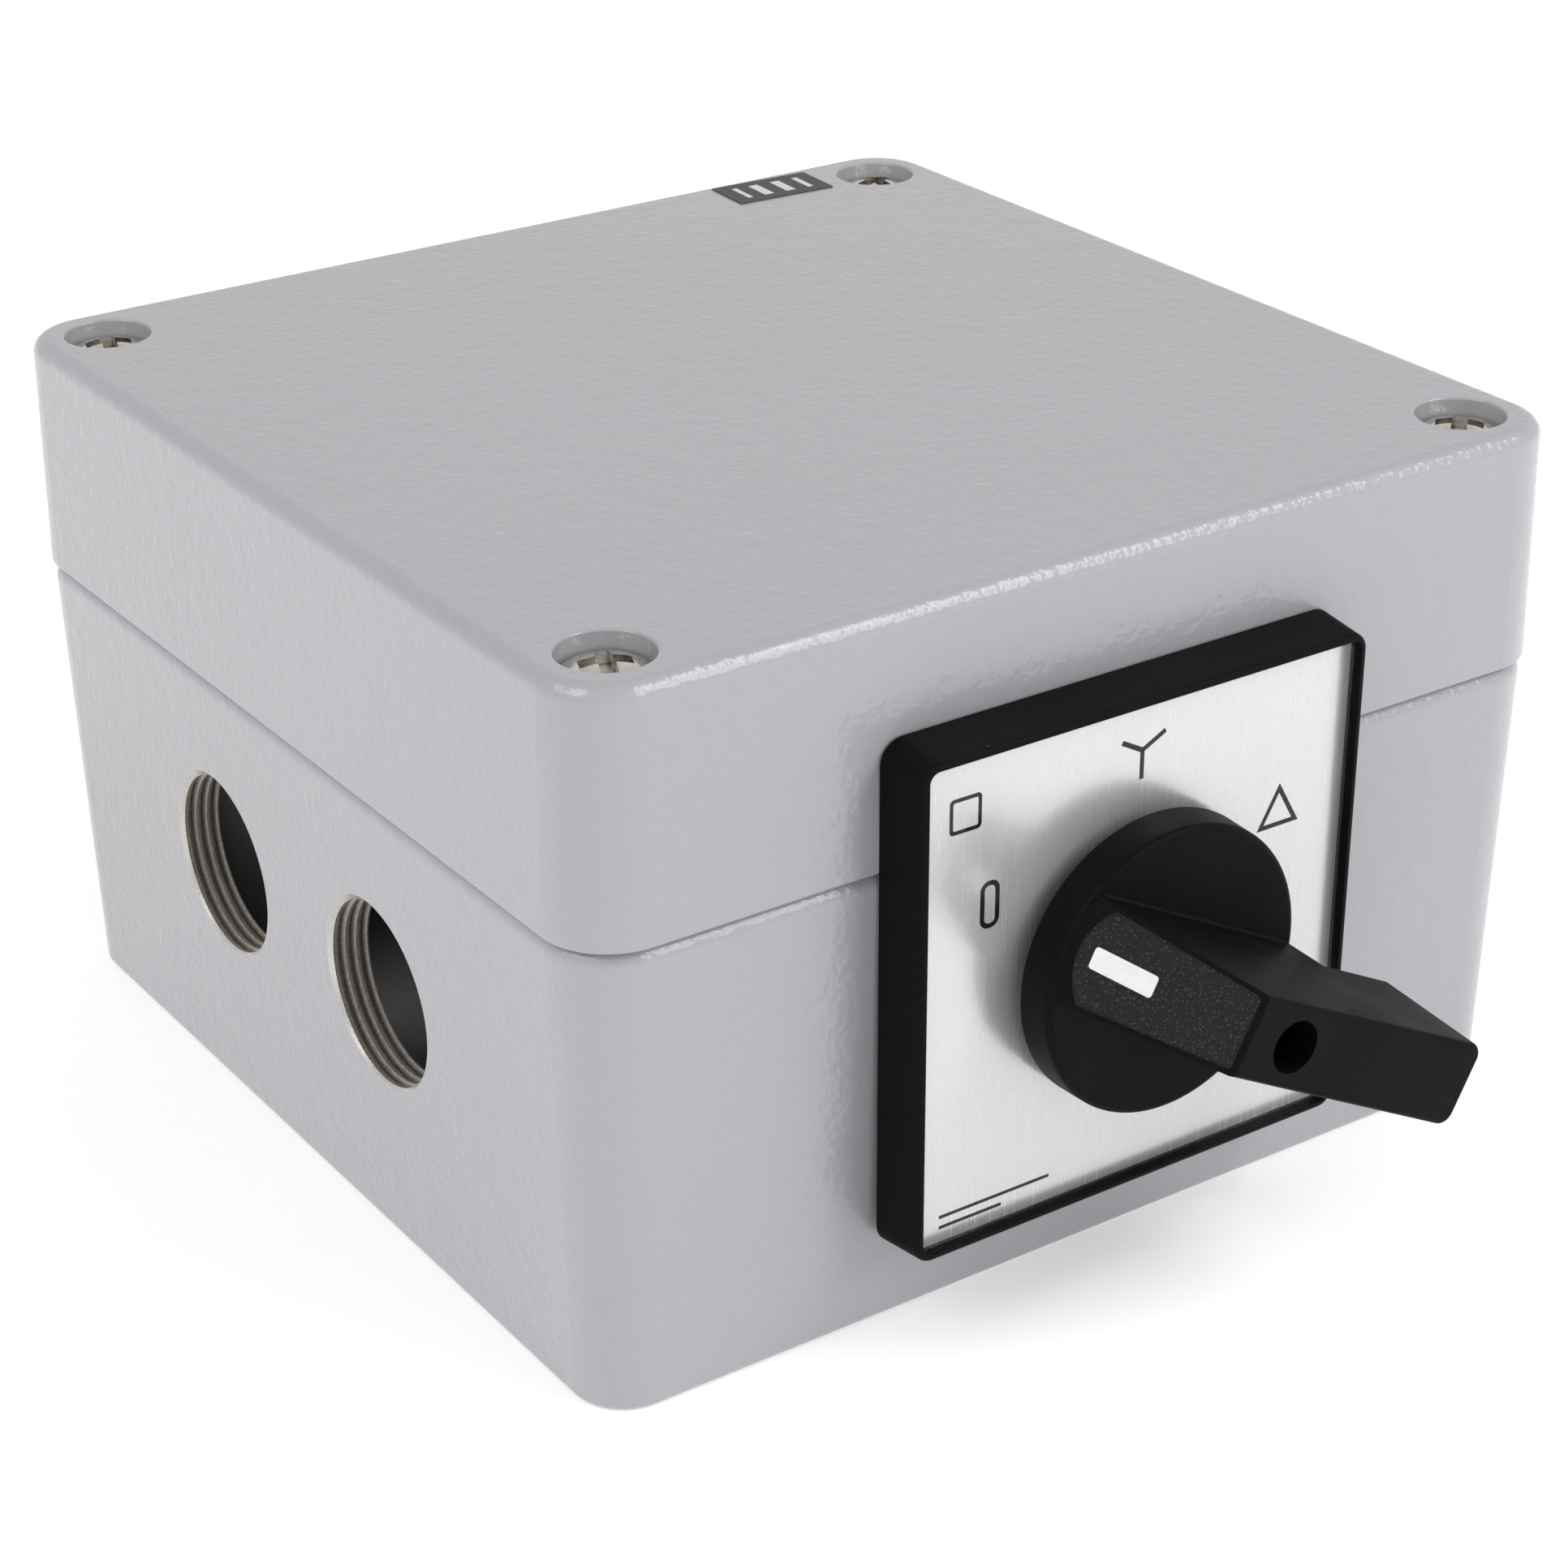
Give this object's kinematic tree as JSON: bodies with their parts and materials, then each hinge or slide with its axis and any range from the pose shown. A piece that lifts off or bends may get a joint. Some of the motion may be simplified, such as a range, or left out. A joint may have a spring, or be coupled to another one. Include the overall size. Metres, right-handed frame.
{
  "type": "enclosed rotary star-delta motor starter",
  "caption": "Square painted die-cast box with a screwed lid, a lever switch on a square bezel on one wall and threaded cable entries on the next.",
  "frame": {"origin": "centre of the flat back of the base, on the surface it is fixed to", "axes": "+Z out of the back towards the screwed lid; -Y towards the switch handle; -X towards the cable entries"},
  "size_m": [0.1406, 0.1739, 0.0912],
  "materials": {
    "painted_case": "light grey powder coat with a fine orange-peel texture over die-cast aluminium",
    "black_plastic": "matte black moulded plastic with a fine spark-eroded texture",
    "textured_insert": "speckled rough dark plastic",
    "white_mark": "white inlay",
    "brushed_plate": "vertically brushed aluminium",
    "clear_window": "clear polycarbonate",
    "legend_ink": "black ink",
    "rating_foil": "dark grey satin foil label",
    "seal_rubber": "black elastomer",
    "plated_steel": "nickel-plated steel",
    "grey_plastic": "dark grey moulded thermoset",
    "ivory_plastic": "natural self-lubricating plastic",
    "contact_brass": "bright brass with silver contact buttons"
  },
  "bodies": {
    "enclosure": {"enclosure_base": "painted_case", "earth_clamp": "plated_steel", "earth_screw": "plated_steel", "bezel_frame": "black_plastic", "bezel_seal": "seal_rubber", "legend_plate": "brushed_plate", "legend_marks": "legend_ink", "legend_window": "clear_window", "mounting_nut": "black_plastic", "switch_front_plate": "grey_plastic", "detent_housing": "grey_plastic", "detent_rollers": "plated_steel", "detent_springs": "plated_steel", "stop_ring": "grey_plastic", "upper_springs": "plated_steel", "lower_springs": "plated_steel", "star_springs": "plated_steel", "fixed_contacts": "contact_brass", "terminal_screws": "plated_steel", "jumper_links": "contact_brass", "rear_plate": "grey_plastic", "tie_rods": "plated_steel", "tie_nuts": "plated_steel", "chamber_housing_1": "grey_plastic", "chamber_housing_2": "grey_plastic", "chamber_housing_3": "grey_plastic", "chamber_housing_4": "grey_plastic", "plunger_star_1": "ivory_plastic", "bridge_star_1": "contact_brass", "plunger_star_2": "ivory_plastic", "bridge_star_2": "contact_brass"},
    "lid": {"enclosure_lid": "painted_case", "lid_gasket": "seal_rubber", "lid_screws": "plated_steel", "rating_plate": "rating_foil"},
    "handle": {"handle": "black_plastic", "pointer_insert": "textured_insert", "pointer_mark": "white_mark", "handle_screw": "plated_steel", "shaft": "plated_steel", "shaft_seal": "seal_rubber", "detent_star": "ivory_plastic", "stop_arm": "plated_steel", "cam_1": "ivory_plastic", "cam_2": "ivory_plastic", "cam_3": "ivory_plastic", "cam_4": "ivory_plastic"},
    "upper_contacts": {"plunger_line_1": "ivory_plastic", "bridge_line_1": "contact_brass", "plunger_line_3": "ivory_plastic", "bridge_line_3": "contact_brass", "plunger_delta_2": "ivory_plastic", "bridge_delta_2": "contact_brass"},
    "lower_contacts": {"plunger_line_2": "ivory_plastic", "bridge_line_2": "contact_brass", "plunger_delta_1": "ivory_plastic", "bridge_delta_1": "contact_brass", "plunger_delta_3": "ivory_plastic", "bridge_delta_3": "contact_brass"}
  },
  "joints": [
    {"name": "handle_turn", "type": "hinge", "parent": "enclosure", "child": "handle", "pos_m": [0, -0.07, 0.0436], "axis": [0, 1, 0], "range_deg": [0, 120]},
    {"name": "upper_contact_slide", "type": "slide", "parent": "enclosure", "child": "upper_contacts", "axis": [0, 0, -1], "range_m": [0, 0.002], "deforming": ["upper_springs"]},
    {"name": "lower_contact_slide", "type": "slide", "parent": "enclosure", "child": "lower_contacts", "axis": [0, 0, 1], "range_m": [0, 0.002], "deforming": ["lower_springs"]},
    {"name": "lid_lift", "type": "slide", "parent": "enclosure", "child": "lid", "axis": [0, 0, 1], "range_m": [0, 0.04]}
  ],
  "couplings": [
    {"joint": "upper_contact_slide", "follows": "handle_turn", "m_per_rad": 0.00095},
    {"joint": "lower_contact_slide", "follows": "handle_turn", "m_per_rad": 0.00095}
  ]
}
